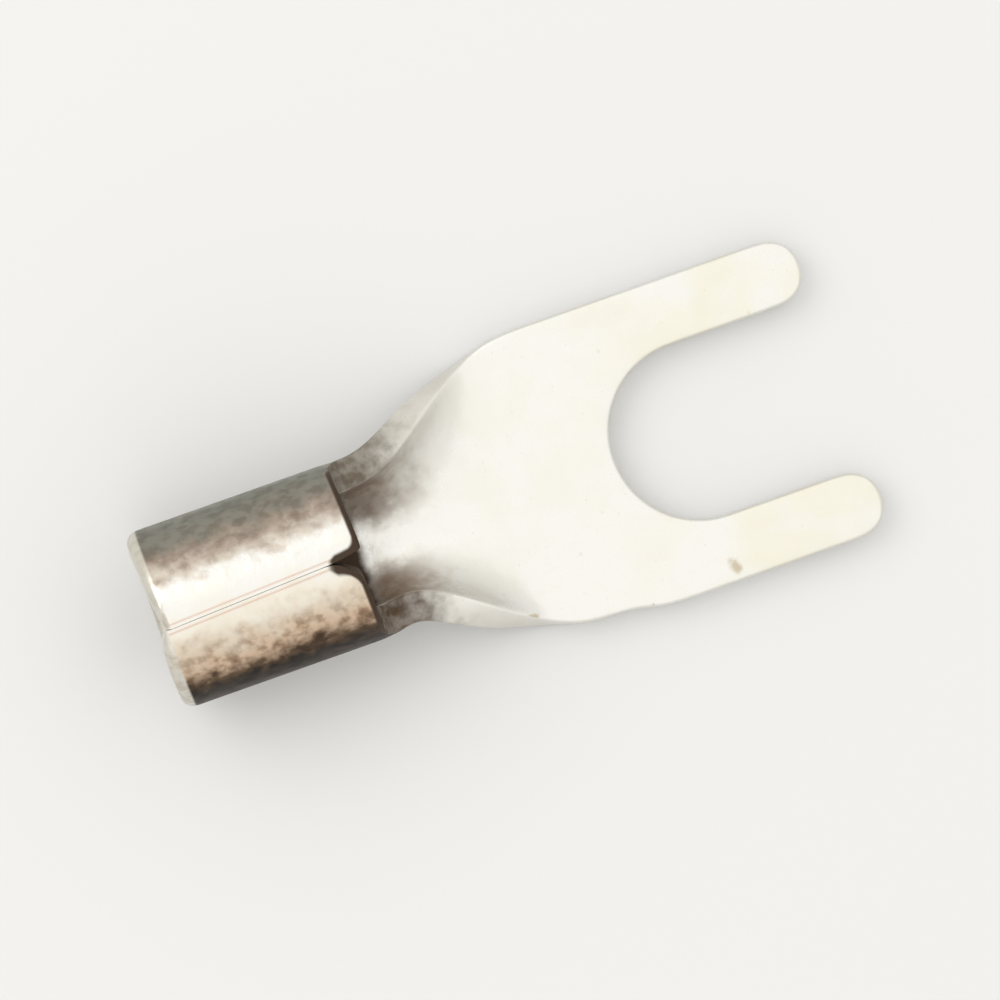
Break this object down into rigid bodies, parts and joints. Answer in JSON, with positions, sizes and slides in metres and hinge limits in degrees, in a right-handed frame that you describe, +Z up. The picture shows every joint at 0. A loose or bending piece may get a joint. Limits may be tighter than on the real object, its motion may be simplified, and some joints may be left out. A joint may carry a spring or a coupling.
{
  "type": "fork terminal",
  "caption": "Bare fork terminal of tinned copper sheet: an open fork that slides under a screw, a trough-shaped neck and a rolled, butt-seamed barrel that is crimped on a wire.",
  "frame": {"origin": "on the axis of the screw, which is the centre of the slot's round bottom, at the tongue's underside", "axes": "+X along the prongs to their tips, so that the barrel's mouth faces -X; +Z up through the screw, towards the barrel's seam; the terminal lies on Z = 0"},
  "size_m": [0.0223, 0.0096, 0.0056],
  "materials": {
    "tinned_copper": "satin electro-tin over copper, finely pitted, with grey-brown tarnish on the barrel and neck"
  },
  "bodies": {
    "root": {"fork_terminal": "tinned_copper"}
  },
  "joints": []
}
